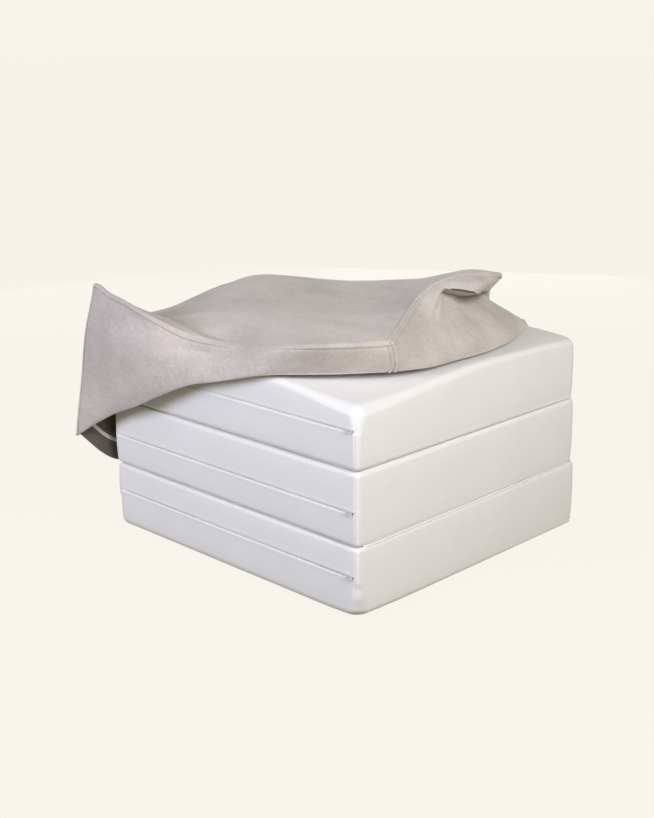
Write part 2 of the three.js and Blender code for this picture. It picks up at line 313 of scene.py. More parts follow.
KNIT = knit_material()
WEAVE = weave_material("weave", dark=(0.40, 0.35, 0.325, 1), light=(0.69, 0.63, 0.585, 1))
# Near-black copy of the weave for the cloth's inner side: painted shade where the inside of the cover lies in
# shadow.
PAINTED_SHADE_BACKING = weave_material("weave_back_painted_shade", dark=(0.06, 0.048, 0.037, 1), light=(0.125, 0.103, 0.082, 1))
FOAM = plain_material("foam", (0.88, 0.83, 0.68), 0.95, bump_scale=350.0, bump_strength=0.6)
TAPE = plain_material("zip_tape", (0.80, 0.79, 0.77), 0.8)
ZINC = plain_material("zip_slider", (0.62, 0.61, 0.59), 0.45, metallic=0.35, bump_strength=0.05)
THREAD = plain_material("thread", (0.44, 0.40, 0.37), 0.8)
BINDING = plain_material("binding", (0.66, 0.62, 0.58), 0.9)


# ---------------------------------------------------------------- mattress blocks

LEAST_GAP = 0.0006  # between grid lines; a line closer than this to the one before is left out


def lattice(low, high, margin, fine, coarse, extra=()):
    """Grid lines from low to high: close together within margin of the ends and round the extra lines."""
    middle = np.arange(low + margin, high - margin, coarse)
    lines = [np.arange(low, low + margin, fine), middle, np.arange(high, high - margin, -fine)]
    for centre, offsets in extra:
        lines.append(centre + np.asarray(offsets))
    lines = np.unique(np.round(np.concatenate(lines), 5))
    keep = [lines[0]]
    for value in lines[1:]:
        if value - keep[-1] > LEAST_GAP:
            keep.append(value)
    return np.array(keep)


def shell_lattice(xs, ys, zs):
    """Vertices and quads of a box whose six faces carry these grid lines."""
    lines = (xs, ys, zs)
    top = [len(line) - 1 for line in lines]
    ids, verts, faces = {}, [], []

    def vertex(key):
        if key not in ids:
            ids[key] = len(verts)
            verts.append([lines[k][key[k]] for k in range(3)])
        return ids[key]

    for axis in range(3):
        a, b = (axis + 1) % 3, (axis + 2) % 3
        for end in (0, top[axis]):
            for i in range(top[a]):
                for j in range(top[b]):
                    corners = []
                    for di, dj in ((0, 0), (1, 0), (1, 1), (0, 1)):
                        key = [0, 0, 0]
                        key[axis], key[a], key[b] = end, i + di, j + dj
                        corners.append(vertex(tuple(key)))
                    faces.append(corners if end else corners[::-1])
    return np.array(verts), faces


# Distances of extra grid lines from the zip and from the corner seams
ZIP_OFFSETS = np.array([-9, -6, -4, -2.8, -1.8, -1.0, -0.4, 0.4, 1.0, 1.8, 2.8, 4, 6, 9]) * MM
SEAM_OFFSETS = np.array([-3, -1.8, -0.8, 0, 0.8, 1.8, 3]) * MM
EDGE_MARGIN = 0.036  # how far in from a block's edges the grid lines stay close together
FINE_STEP = 0.003
PLAN_STEP = 0.009
HEIGHT_STEP = 0.006

CORNER_SEAM = 8 * MM  # distance of the upright corner seams from the block's ends
EDGE_PULL = 2.4 * MM  # how far the covers draw in towards the edges
FOAM_INSET = 4 * MM  # cover and wadding over the foam
COVER_PARTS = ("cover_wrap", "front_lower_panel", "front_upper_panel", "rear_panel")

# For each block: radii of the lower, upper, near upright and far upright edges, then how much the far side
# draws in and how much the left end stands out, all in millimetres.
SOFTNESS = {
    "bottom": (17, 10, 10, 20, 0, 0),
    "middle": (10, 11, 10, 26, 6, 1),
    "top": (11, 14, 10, 32, 10, 0),
}
THIN_FOOT = 0.7  # how much of the lower edge's radius is lost at the far right

# The top block's near upper corner and the bottom block's near lower corner are rounder than the rest.
NEAR_STRETCH = 1.6  # the soft corners reach further along Y than along X
NEAR_TOP_REACH = 0.09
NEAR_TOP_RADIUS = 12 * MM
NEAR_FOOT_REACH = 0.07
NEAR_FOOT_RADIUS = 22 * MM
NEAR_FOOT_LIFT = 3 * MM

SAG = 21 * MM  # how far the top block's unsupported near corner has sunk
SAG_REACH = 0.15
FAR_SAG = 15 * MM
SEEDS = {"bottom": 3, "middle": 11, "top": 23}

# Size and wavelength of the slow unevenness of the upright faces, and of the top face
SIDE_WANDER = (1.4 * MM, 0.17)
TOP_WANDER = (1.6 * MM, 0.15)

# Height or depth of each relief on the front face, then its width
ZIP_SLIT = (3.0 * MM, 1.3 * MM)
ZIP_LIP = (0.35 * MM, 3 * MM)
CORNER_DIP = (1.2 * MM, 1.1 * MM)
LIP_DISTANCE = 4.5 * MM  # of the lips from the slit
ZIP_FADE = 6 * MM  # the slit fades out over this length before the corner seams


def smooth_step(low, high, value):
    """0 up to low, 1 from high on, and a smooth rise between them."""
    t = np.clip((value - low) / (high - low), 0, 1)
    return t * t * (3 - 2 * t)


def to_round(a, b):
    """Map points of a square quarter to the round quarter of the same size."""
    largest = np.maximum(a, b)
    length = np.maximum(np.hypot(a, b), 1e-9)
    return a * largest / length, b * largest / length


def block_outline(name):
    """Lowest and highest corner of a block, from its cover's CAD parts."""
    wrap_low, wrap_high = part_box(f"{name}_cover_wrap")
    front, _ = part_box(f"{name}_front_lower_panel")
    _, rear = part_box(f"{name}_rear_panel")
    return np.array([wrap_low.x, front.y, wrap_low.z]), np.array([wrap_high.x, rear.y, wrap_high.z])


def rounded_box(q, lo, hi, edge, upright):
    """A box's points moved onto rounded edges, with normals. Edge and upright are radii for each point."""
    # Round the upright edges in plan, then the long edges against the plan's outline.
    inner = np.clip(q[:, :2], lo[:2] + upright[:, None], hi[:2] - upright[:, None])
    d = q[:, :2] - inner
    dx, dy = to_round(np.abs(d[:, 0]), np.abs(d[:, 1]))
    reach = np.maximum(np.hypot(dx, dy), 1e-9)
    outward = np.stack([np.sign(d[:, 0]) * dx, np.sign(d[:, 1]) * dy], 1) / reach[:, None]
    side = np.clip(edge - (upright - reach), 0, None)
    rise = q[:, 2] - np.clip(q[:, 2], lo[2] + edge, hi[2] - edge)
    side_round, rise_round = to_round(side, np.abs(rise))
    p = np.empty_like(q)
    p[:, :2] = inner + outward * (reach - (side - side_round))[:, None]
    p[:, 2] = q[:, 2] - rise + np.sign(rise) * rise_round
    n = np.concatenate([outward * side_round[:, None], (np.sign(rise) * rise_round)[:, None]], 1)
    return p, n / np.maximum(np.linalg.norm(n, axis=1, keepdims=True), 1e-9)


def zip_relief(q, n, seam_x, zip_height):
    """The slit of the concealed zip with its raised lips, and the sunk seams at the front face's ends."""
    facing = np.clip(-n[:, 1], 0, 1) ** 4
    past_ends = np.minimum(seam_x[1] - q[:, 0], q[:, 0] - seam_x[0])
    along = np.clip(past_ends / ZIP_FADE, 0, 1)
    dz = np.abs(q[:, 2] - zip_height)
    slit = ZIP_SLIT[0] * bell(dz, ZIP_SLIT[1])
    lip = ZIP_LIP[0] * bell(dz - LIP_DISTANCE, ZIP_LIP[1])
    relief = facing * along * (lip - slit)
    for x in seam_x:
        relief -= facing * CORNER_DIP[0] * bell(q[:, 0] - x, CORNER_DIP[1])
    return relief


def block_form(name, zip_height, inset=0.0):
    """Points and quads of a block's soft form. An inset above zero gives the foam under the cover."""
    lo, hi = block_outline(name)
    seam_x = (lo[0] + CORNER_SEAM, hi[0] - CORNER_SEAM)
    seam_lines = [(x, SEAM_OFFSETS) for x in seam_x]
    xs = lattice(lo[0], hi[0], EDGE_MARGIN, FINE_STEP, PLAN_STEP, seam_lines)
    ys = lattice(lo[1], hi[1], EDGE_MARGIN, FINE_STEP, PLAN_STEP)
    zs = lattice(lo[2], hi[2], EDGE_MARGIN, FINE_STEP, HEIGHT_STEP, [(zip_height, ZIP_OFFSETS)])
    q, faces = shell_lattice(xs, ys, zs)

    # Places on the block from 0 to 1: up, towards the rear, and towards the right.
    up = (q[:, 2] - lo[2]) / (hi[2] - lo[2])
    back = (q[:, 1] - lo[1]) / (hi[1] - lo[1])
    right = np.clip(q[:, 0] / hi[0], 0, 1)
    corner = np.hypot(hi[0] - q[:, 0], (q[:, 1] - lo[1]) / NEAR_STRETCH)
    near_top = bell(corner, NEAR_TOP_REACH) * smooth_step(0.4, 1, up) if name == "top" else 0 * up
    near_foot = bell(corner, NEAR_FOOT_REACH) * (1 - smooth_step(0, 0.5, up)) if name == "bottom" else 0 * up

    lower, upper, near, far, draw, stand = (value * MM for value in SOFTNESS[name])
    edge = np.where(up > 0.5, upper, lower * (1 - THIN_FOOT * back * right)) + NEAR_TOP_RADIUS * near_top
    upright = np.where(back > 0.5, far, near) + NEAR_TOP_RADIUS * near_top + NEAR_FOOT_RADIUS * near_foot
    p, n = rounded_box(q, lo, hi, edge, np.maximum(upright, edge))

    # The sides draw in towards the upper and lower edges, and the faces wander a little as foam does.
    upright_face = 1 - np.abs(n[:, 2])
    top_face = np.clip(n[:, 2], 0, 1) ** 4
    push = -EDGE_PULL * upright_face * np.abs(2 * up - 1) ** 3
    push += SIDE_WANDER[0] * upright_face * soft_noise(q, SIDE_WANDER[1], SEEDS[name])
    push += TOP_WANDER[0] * top_face * (soft_noise(q, TOP_WANDER[1], SEEDS[name] + 8) - 1)
    push += -inset if inset else zip_relief(q, n, seam_x, zip_height)
    p += n * push[:, None]
    p[:, 2] += NEAR_FOOT_LIFT * near_foot**2 * (1 - up)
    p[:, 1] -= draw * back**2 * (1 - 0.3 * (1 - up))
    p[:, 0] -= stand * (1 - (q[:, 0] - lo[0]) / (hi[0] - lo[0])) ** 3
    if name == "top":
        far_corner = back**3 * right**2
        p[:, 2] -= (SAG * bell(corner, SAG_REACH) + FAR_SAG * far_corner) * smooth_step(0.5, 1, up)
    return p, faces


def block_cover(name, zip_height):
    """The knit cover of one block as a soft closed form over its foam."""
    p, faces = block_form(name, zip_height)
    obj = mesh_object(f"{name}_knit_cover", p, faces)
    use_material(obj, KNIT)
    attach(obj, f"{name}_block")
    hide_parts(*(f"{name}_{part}" for part in COVER_PARTS))


def foam_block(name, zip_height):
    """The foam, which follows the inside of its cover."""
    p, faces = block_form(name, zip_height, FOAM_INSET)
    obj = mesh_object(f"{name}_foam", p, faces)
    use_material(obj, FOAM)
    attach(obj, f"{name}_block")
    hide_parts(f"{name}_foam_core")


TOOTH_PITCH = 1.6 * MM
TOOTH_SIZE = (1.0 * MM, 0.9 * MM, 3.0 * MM)
TOOTH_TILT = 0.35
COIL_DEPTH = 2.4 * MM  # of the coil behind the front of the tape
COIL_END = 15 * MM  # bare tape at each end


def zip_chain(name, zip_height):
    """The closed coil at the bottom of the slit: a row of small teeth that lean to and fro."""
    low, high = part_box(f"{name}_zip_chain")
    size = Matrix.Diagonal((*TOOTH_SIZE, 1))
    bm = bmesh.new()
    for k in range(int((high.x - low.x - 2 * COIL_END) / TOOTH_PITCH)):
        place = Matrix.Translation((low.x + COIL_END + k * TOOTH_PITCH, low.y + COIL_DEPTH, zip_height))
        tilt = Matrix.Rotation(TOOTH_TILT if k % 2 else -TOOTH_TILT, 4, "Y")
        bmesh.ops.create_cube(bm, size=1, matrix=place @ tilt @ size)
    mesh = bpy.data.meshes.new(f"{name}_zip_coil")
    bm.to_mesh(mesh)
    bm.free()
    obj = bpy.data.objects.new(f"{name}_zip_coil", mesh)
    bpy.context.scene.collection.objects.link(obj)
    use_material(obj, TAPE)
    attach(obj, f"{name}_block")
    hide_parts(f"{name}_zip_chain")


for block in BLOCKS:
    tape_low, tape_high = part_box(f"{block}_zip_chain")
    zip_middle = (tape_low.z + tape_high.z) / 2
    block_cover(block, zip_middle)
    foam_block(block, zip_middle)
    zip_chain(block, zip_middle)
    use_material(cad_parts[f"{block}_zip_slider"], ZINC)


# ---------------------------------------------------------------- hinge gussets

GUSSET_HALF = 10 * MM  # half its height
GUSSET_SINK = 5.2 * MM  # of its edges under the cover's face, out of sight inside the blocks' rounded edges
GUSSET_BULGE = 2.6 * MM
GUSSET_CREASE = (1.4 * MM, 1.6 * MM)  # depth and width of the crease along its middle
GUSSET_TUCK = (3.5 * MM, 9 * MM)  # depth and length over which each end is tucked in
GUSSET_MARGIN = 4 * MM
GUSSET_THICKNESS = 0.9 * MM
GUSSET_ROWS = 21
GUSSET_COLUMNS = 120


def hinge_gusset(name, side):
    """Knit that bridges the groove between two blocks on the side where they are joined."""
    low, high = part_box(name)
    middle = (low.z + high.z) / 2
    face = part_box("bottom_cover_wrap")[1].x
    heights = np.linspace(-GUSSET_HALF, GUSSET_HALF, GUSSET_ROWS)
    profile = face + GUSSET_BULGE * (1 - (heights / GUSSET_HALF) ** 2) - GUSSET_SINK
    profile -= GUSSET_CREASE[0] * bell(heights, GUSSET_CREASE[1])
    ys = np.linspace(low.y + GUSSET_MARGIN, high.y - GUSSET_MARGIN, GUSSET_COLUMNS)
    tuck = GUSSET_TUCK[0] * (bell(ys - ys[0], GUSSET_TUCK[1]) + bell(ys - ys[-1], GUSSET_TUCK[1]))
    grid = np.empty((len(heights), len(ys), 3))
    grid[..., 0] = side * (profile[:, None] - tuck)
    grid[..., 1] = ys
    grid[..., 2] = middle + heights[:, None]
    if side > 0:
        grid = grid[:, ::-1]
    obj = sheet_mesh(name + "_knit", grid[::-1], GUSSET_THICKNESS)
    use_material(obj, KNIT)
    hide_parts(name)
    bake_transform(obj)


hinge_gusset("lower_hinge_gusset", 1)
hinge_gusset("upper_hinge_gusset", -1)


# ---------------------------------------------------------------- outer cover
# Nets of middle-surface points in millimetres. Rows run from a panel's seam to its far edge.

TOP_NET = [
    [
        (-322, -344, 484), (-213, -363, 476), (-119, -367, 457), (-53, -334, 428), (39, -311, 425),
        (157, -315, 443), (233, -272, 449), (275, -183, 445),
    ],
    [
        (-351, -245, 414), (-265, -240, 413), (-170, -234, 432), (-65, -222, 447), (35, -203, 450),
        (112, -178, 452), (182, -146, 450), (240, -110, 461),
    ],
    [
        (-352, -160, 405), (-262, -150, 428), (-167, -140, 447), (-62, -126, 451), (33, -110, 446),
        (106, -92, 446), (162, -72, 453), (209, -50, 475),
    ],
    [
        (-352, -80, 418), (-262, -70, 449), (-163, -55, 459), (-58, -42, 452), (34, -28, 444),
        (100, -20, 445), (154, -14, 460), (200, -8, 494),
    ],
    [
        (-352, -30, 428), (-262, -15, 460), (-162, 0, 462), (-58, 10, 453), (35, 16, 446),
        (104, 20, 452), (162, 21, 477), (213, 20, 511),
    ],
    [
        (-352, 30, 434), (-262, 40, 460), (-160, 58, 458), (-56, 68, 452), (38, 72, 451),
        (106, 72, 464), (170, 70, 494), (232, 66, 519),
    ],
    [
        (-352, 120, 430), (-258, 130, 441), (-160, 146, 446), (-55, 158, 456), (36, 162, 470),
        (108, 158, 490), (182, 145, 509), (262, 132, 514),
    ],
    [
        (-351, 178, 420), (-259, 190, 427), (-161, 200, 434), (-57, 212, 443), (30, 214, 452),
        (97, 208, 463), (155, 198, 474), (202, 186, 482),
    ],
    [
        (-351, 225, 408), (-260, 238, 412), (-163, 246, 416), (-60, 252, 420), (22, 252, 426),
        (76, 248, 434), (115, 244, 439), (150, 238, 437),
    ],
    [
        (-350, 295, 398), (-262, 306, 401), (-164, 312, 402), (-62, 316, 402), (15, 319, 400),
        (65, 320, 396), (100, 320, 392), (136, 320, 388),
    ],
    [
        (-351, 318, 394), (-262, 326, 396), (-164, 331, 396), (-63, 333, 396), (16, 335, 391),
        (78, 336, 383), (130, 338, 372), (172, 339, 358),
    ],
    [
        (-350, 334, 384), (-262, 339, 382), (-165, 342, 380), (-65, 343, 378), (18, 345, 370),
        (90, 347, 355), (152, 348, 338), (215, 348, 322),
    ],
]

# Seam, two rows down to the hem, then the part that is turned under the cover.
FRONT_NET = [
    TOP_NET[0],
    [
        (-348, -352, 395), (-228, -375, 402), (-131, -376, 402), (-63, -345, 401), (36, -325, 411),
        (151, -323, 432), (225, -272, 434), (280, -181, 428),
    ],
    [
        (-373, -350, 302), (-266, -363, 317), (-157, -371, 344), (-64, -351, 373), (37, -337, 396),
        (141, -325, 413), (215, -261, 413), (279, -175, 411),
    ],
    [
        (-385, -362, 191), (-298, -354, 240), (-182, -360, 289), (-65, -352, 341), (34, -343, 368),
        (128, -326, 393), (208, -246, 394), (270, -170, 394),
    ],
    [
        (-383, -355, 196), (-296, -345, 245), (-180, -353, 293), (-65, -344, 348), (34, -334, 376),
        (128, -314, 391.5), (204, -240, 391.5), (262, -164, 391.5),
    ],
    [
        (-352, -338, 260), (-284, -339, 287), (-186, -332, 331), (-63, -329, 389), (32, -300, 393),
        (110, -240, 393), (176, -170, 393), (226, -110, 393),
    ],
    [
        (-350, -332, 300), (-269, -338, 334), (-172, -327, 374), (-62, -240, 396), (20, -190, 396),
        (84, -130, 396), (132, -76, 396), (170, -30, 396),
    ],
]

# Seam, front of the lip, its edge, the slit under it, swell, foot of the swell and hem, then the part that is
# turned under the cover. Columns run from front to rear.
RIGHT_NET = [
    [row[-1] for row in TOP_NET],
    [
        (279, -181, 438), (252, -107, 453), (226, -46, 467), (216, -2, 496), (233, 26, 508),
        (266, 64, 507), (255, 131, 502), (199, 186, 473), (153, 240, 426), (143, 323, 386),
        (184, 341, 342), (217, 350, 285),
    ],
    [
        (281, -179, 431), (264, -104, 444), (242, -42, 459), (226, 6, 498), (243, 22, 499),
        (268, 50, 493), (243, 116, 482), (192, 186, 463), (164, 241, 420), (150, 326, 384),
        (200, 344, 328), (219, 352, 245),
    ],
    [
        (281, -179, 429), (266, -103, 442), (245, -41, 457), (222, 12, 494), (234, 27, 496),
        (259, 55, 490), (234, 121, 479), (188, 185, 459), (169, 241, 419), (152, 327, 384),
        (204, 345, 324), (219, 352, 235),
    ],
    [
        (282, -178, 424), (272, -102, 436), (254, -40, 450), (214, 20, 488), (128, 78, 448),
        (112, 122, 442), (118, 164, 438), (180, 184, 448), (190, 238, 418), (157, 328, 382),
        (214, 347, 312), (221, 354, 205),
    ],
    [
        (282, -177, 419), (278, -100, 429), (263, -37, 443), (214, 30, 486), (212, 48, 481),
        (205, 85, 478), (195, 141, 471), (200, 189, 444), (221, 233, 415), (162, 329, 380),
        (224, 349, 301), (223, 356, 171),
    ],
    [
        (282, -177, 417), (280, -100, 427), (266, -36, 440), (217, 36, 484), (221, 43, 482),
        (214, 80, 479), (204, 136, 472), (209, 191, 441), (229, 232, 413), (164, 329, 380),
        (228, 349, 297), (224, 356, 160),
    ],
    [
        (282, -177, 415), (282, -99, 425), (269, -35, 438), (224, 33, 478), (227, 39, 475),
        (220, 76, 472), (210, 132, 465), (219, 192, 436), (233, 233, 411), (166, 329, 380),
        (232, 350, 293), (225, 356, 149),
    ],
    [
        (281, -175, 409), (286, -98, 418), (280, -30, 430), (264, 20, 444), (254, 52, 446),
        (258, 92, 439), (261, 142, 427), (250, 196, 416), (237, 240, 403), (171, 330, 378),
        (242, 351, 281), (226, 358, 118),
    ],
    [
        (276, -172, 401), (293, -98, 406), (297, -28, 411), (296, 24, 417), (290, 58, 419),
        (285, 98, 417), (277, 148, 410), (258, 202, 402), (240, 246, 398), (177, 330, 376),
        (252, 353, 266), (229, 360, 75),
    ],
    [
        (270, -170, 394), (294, -108, 394), (297, -40, 394), (298, 22, 394), (296, 60, 394),
        (290, 100, 394), (281, 146, 394), (258, 206, 394), (236, 254, 394), (183, 330, 374),
        (262, 354, 250), (232, 362, 32),
    ],
    [
        (262, -164, 391.5), (286, -102, 391.5), (289, -38, 391.5), (290, 22, 391.5), (288, 58, 391.5),
        (282, 96, 391.5), (273, 142, 391.5), (251, 200, 391.5), (229, 248, 391.5), (178, 326, 374),
        (259, 349, 250), (230, 355, 40),
    ],
    [
        (214, -120, 399), (232, -70, 399), (230, -24, 396), (228, 20, 396), (226, 60, 396),
        (222, 96, 396), (212, 136, 396), (196, 190, 396), (186, 228, 396), (150, 300, 394),
        (246, 345, 285), (224, 350, 75),
    ],
    [
        (120, -80, 402), (120, -40, 402), (116, -4, 399), (112, 30, 399), (108, 66, 398),
        (104, 98, 398), (98, 130, 398), (92, 176, 397), (90, 206, 397), (70, 272, 396),
        (226, 341, 320), (216, 346, 115),
    ],
]

REAR_NET = [
    TOP_NET[-1],
    [
        (-352, 352, 290), (-262, 350, 290), (-165, 360, 288), (-65, 352, 285), (22, 362, 280),
        (96, 354, 262), (160, 361, 248), (219, 352, 225),
    ],
    [
        (-353, 358, 190), (-262, 350, 188), (-165, 366, 186), (-65, 352, 182), (24, 368, 176),
        (98, 355, 162), (163, 366, 148), (226, 358, 128),
    ],
    [
        (-352, 362, 82), (-262, 352, 78), (-165, 370, 80), (-65, 354, 76), (24, 372, 72),
        (100, 356, 60), (168, 369, 48), (232, 362, 32),
    ],
]

LEFT_NET = [
    [row[0] for row in TOP_NET],
    [
        (-348, -352, 395), (-359, -262, 345), (-363, -140, 335), (-364, -5, 338), (-364, 130, 332),
        (-364, 235, 325), (-360, 300, 310), (-352, 352, 290),
    ],
    [
        (-373, -350, 302), (-359, -280, 230), (-366, -150, 218), (-369, -5, 214), (-370, 130, 208),
        (-368, 240, 204), (-362, 305, 198), (-353, 358, 190),
    ],
    [
        (-385, -362, 191), (-345, -300, 128), (-356, -160, 105), (-367, -5, 88), (-366, 130, 80),
        (-364, 245, 80), (-358, 310, 80), (-352, 362, 82),
    ],
]

CLOTH = 2.6 * MM  # thickness
CLOTH_STEP = 4 * MM  # between grid lines
HEM_HEIGHT = 0.394  # where the front and right hems lie on the top block
HEM_CALM = 15 * MM  # above and below it, where the ripples fade out
EDGE_CALM = 25 * MM  # from a panel's edges, where the ripples fade out
FOLD_X = -0.3265  # the upper fold's hinge line
ALL_SEAMS = [(0, 0), (0, 1), (1, 0), (1, 1)]
HUNG_SEAMS = [(0, 0), (1, 0), (1, 1)]

# Size and wavelength of the long ripples and of the fine ones
BROAD_RIPPLES = (2.1 * MM, 0.05)
FINE_RIPPLES = (0.8 * MM, 0.022)
RIPPLE_STRETCH = (0.35, 1.0, 1.0)  # a low value makes ripples long that way

# Height or depth of each relief at a sewn edge, then its width
SEAM_WELT = (1.3 * MM, 2.2 * MM)
SEAM_DIVE = (2.0 * MM, 1.6 * MM)
STITCH_DIP = (0.7 * MM, 1.1 * MM)
WELT_INSET = 4 * MM
STITCH_INSET = 7.5 * MM
STITCH_PITCH = 5.5 * MM
STITCH_LENGTH = 4.0 * MM
STITCH_RADIUS = 0.55 * MM
STITCH_SIDES = 5
STITCH_LIFT = 0.1 * MM  # above the cloth

FRONT_SEAM_Y = -0.15  # the long front seam lies in front of this
SEAM_FADES_OUT = (0.0, 0.06)  # along X
SEAM_COMES_BACK = (0.13, 0.19)

# Soft pushes on the cloth: a centre, the reach along X, Y and Z, and the push itself, in millimetres.
PUSHES = [
    ((-306, -338, 480), (26, 30, 22), (0, 0, 7)),  # flat top of the raised left corner
    ((-225, -296, 445), (70, 20, 60), (0, 0, -11)),  # valley behind the front fold
    ((-130, -300, 432), (60, 20, 60), (0, 0, -9)),
    ((-40, -302, 428), (50, 18, 40), (0, 0, -8)),
    ((-40, -318, 421), (46, 10, 20), (0, -4, 5)),  # pinched fold at the end of the valley
    ((-32, -333, 404), (34, 10, 7), (0, 6, -2)),
]


def pushed(grid):
    """The grid after the soft pushes, each fading out over its reach."""
    for centre, reach, move in PUSHES:
        offset = (grid - np.array(centre) * MM) / (np.array(reach) * MM)
        weight = np.exp(-(offset**2).sum(axis=2, keepdims=True))
        grid = grid + weight * np.array(move) * MM
    return grid


def seam_relief(distance):
    """A sewn edge: the cloth dives into the seam, stands up beside it and dips again at the topstitching."""
    welt = SEAM_WELT[0] * bell(distance - WELT_INSET, SEAM_WELT[1])
    stitching = STITCH_DIP[0] * bell(distance - STITCH_INSET, STITCH_DIP[1])
    return welt - stitching - SEAM_DIVE[0] * bell(distance, SEAM_DIVE[1])


def front_seam_strength(grid):
    """The long front seam shows at its two ends and rolls softly out of sight between them."""
    x, y = grid[..., 0], grid[..., 1]
    hidden = smooth_step(*SEAM_FADES_OUT, x) - smooth_step(*SEAM_COMES_BACK, x)
    return np.where(y < FRONT_SEAM_Y, 1 - hidden, 1)


def wrinkles(grid, seed):
    """Slack in the cloth: long soft ripples with finer ones between them."""
    stretched = grid.reshape(-1, 3) * np.array(RIPPLE_STRETCH)
    broad = BROAD_RIPPLES[0] * soft_noise(stretched, BROAD_RIPPLES[1], seed)
    fine = FINE_RIPPLES[0] * soft_noise(stretched, FINE_RIPPLES[1], seed + 5)
    return (broad + fine).reshape(grid.shape[:2])


def cover_cloth(net, seams, outward):
    """Grid and normals of one panel of the outer cover. Seams lists its sewn edges as (axis, end) pairs."""
    grid = pushed(net_grid(net, CLOTH_STEP))
    if outward < 0:
        grid = grid[:, ::-1]
    relief = wrinkles(grid, SEEDS["top"]) * smooth_step(0, HEM_CALM, np.abs(grid[..., 2] - HEM_HEIGHT))
    for axis, end in ALL_SEAMS:
        relief = relief * smooth_step(0, EDGE_CALM, edge_distance(grid, axis, end))
    for axis, end in seams:
        relief = relief + seam_relief(edge_distance(grid, axis, end)) * front_seam_strength(grid)
    grid = grid + grid_normals(grid) * relief[..., None]
    return grid, grid_normals(grid)


def cloth_piece(name, node, grid, normals, cut):
    """A sheet of the woven cloth, with its inner side in a near-black copy of the weave: painted shade of the
    cover's hollow inside.
    """
    obj = sheet_mesh(name, grid, CLOTH, normals, cut)
    use_material(obj, WEAVE)
    obj.data.materials.append(PAINTED_SHADE_BACKING)
    # The faces of the inner side get the near-black weave: painted shade.
    inside = np.zeros(len(obj.data.polygons), int)
    quads = (grid.shape[0] - 1) * (grid.shape[1] - 1)
    inside[quads:2 * quads] = 1
    obj.data.polygons.foreach_set("material_index", inside)
    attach(obj, "outer_cover")
    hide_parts(node)
    return obj


def press_flat(obj):
    """Give the cloth outside the upper fold its own copy of its mesh."""
    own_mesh(obj)


def line_beside(grid, normals, axis, end, inset):
    """Points on the cloth at one distance from an edge, with the cloth's normals there."""
    distance = np.moveaxis(edge_distance(grid, axis, end), axis, 0)
    data = np.moveaxis(np.concatenate([grid, normals], axis=2), axis, 0)
    if end:
        distance, data = distance[::-1], data[::-1]
    found = []
    for k in range(distance.shape[1]):
        if distance[:, k].max() >= inset:
            found.append([np.interp(inset, distance[:, k], data[:, k, part]) for part in range(6)])
    return np.array(found)


def stitch_rows(grid, normals, seams):
    """Start, end and normal of each stitch along the sewn edges of a panel, just on top of the cloth."""
    rows = []
    for axis, end in seams:
        line = line_beside(grid, normals, axis, end, STITCH_INSET)
        along = np.r_[0, np.cumsum(np.linalg.norm(np.diff(line[:, :3], axis=0), axis=1))]
        for start in np.arange(STITCH_PITCH, along[-1] - STITCH_PITCH, STITCH_PITCH):
            reach = (start, start + STITCH_LENGTH)
            ends = np.stack([np.interp(reach, along, line[:, k]) for k in range(6)], axis=1)
            points = ends[:, :3] + ends[:, 3:] * (CLOTH / 2 + STITCH_LIFT)
            if front_seam_strength(points.mean(axis=0)) > 0.5:
                rows.append((points[0], points[1], ends[:, 3:].mean(axis=0)))
    return rows


def cover_panel(name, net, node, seams, outward):
    """One panel of the outer cover, and the strip of it outside the upper fold. Returns its stitches."""
    grid, normals = cover_cloth(net, seams, outward)
    column = int(np.abs(grid[..., 0].mean(axis=0) - FOLD_X).argmin())
    parts = [(slice(column, None), 0), (slice(None, column + 1), -1)]
    if outward < 0:
        parts.reverse()
    (inner, inner_cut), (outer, outer_cut) = parts
    cloth_piece(
        f"cover_{name}_cloth", node, grid[:, inner], normals[:, inner], (inner_cut,))
    strip = cloth_piece(
        f"cover_{name}_edge_cloth", node, grid[:, outer], normals[:, outer], (outer_cut,))
    press_flat(strip)
    return stitch_rows(grid, normals, seams)


def plain_panel(name, net, node, outward, pressed):
    """A side border, which lies all on one side of the upper fold. Returns its stitches."""
    grid, normals = cover_cloth(net, HUNG_SEAMS, outward)
    obj = cloth_piece(f"cover_{name}_cloth", node, grid, normals, ())
    if pressed:
        press_flat(obj)
    return stitch_rows(grid, normals, HUNG_SEAMS)


def stitch_mesh(name, rows):
    """Short plump stitches, each a spindle lying on the cloth."""
    verts, faces = [], []
    sides = STITCH_SIDES
    for start, end, normal in rows:
        along = end - start
        across = np.cross(along, normal)
        across /= np.linalg.norm(across)
        up = np.cross(across, along)
        up /= np.linalg.norm(up)
        first = len(verts)
        verts.append(start)
        for share in (0.2, 0.8):
            for k in range(sides):
                angle = math.tau * k / sides
                rim = across * math.cos(angle) + up * math.sin(angle)
                verts.append(start + along * share + rim * STITCH_RADIUS)
        verts.append(end)
        for k in range(sides):
            a, b = first + 1 + k, first + 1 + (k + 1) % sides
            faces.append((first, b, a))
            faces.append((a, b, b + sides, a + sides))
            faces.append((first + 1 + 2 * sides, a + sides, b + sides))
    obj = mesh_object(name, verts, faces)
    use_material(obj, THREAD)
    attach(obj, "outer_cover")
    return obj


BINDING_PLACE = (0.80, 0.82)  # on the left border, from its seam (0) to its hem (1)
BINDING_ROWS = 7
BINDING_THICKNESS = 1.0 * MM
BINDING_LIFT = 0.9 * MM  # of its middle from the cloth's face
BINDING_ARCH = 0.6 * MM
BINDING_ENDS = 4  # grid columns left bare at each end


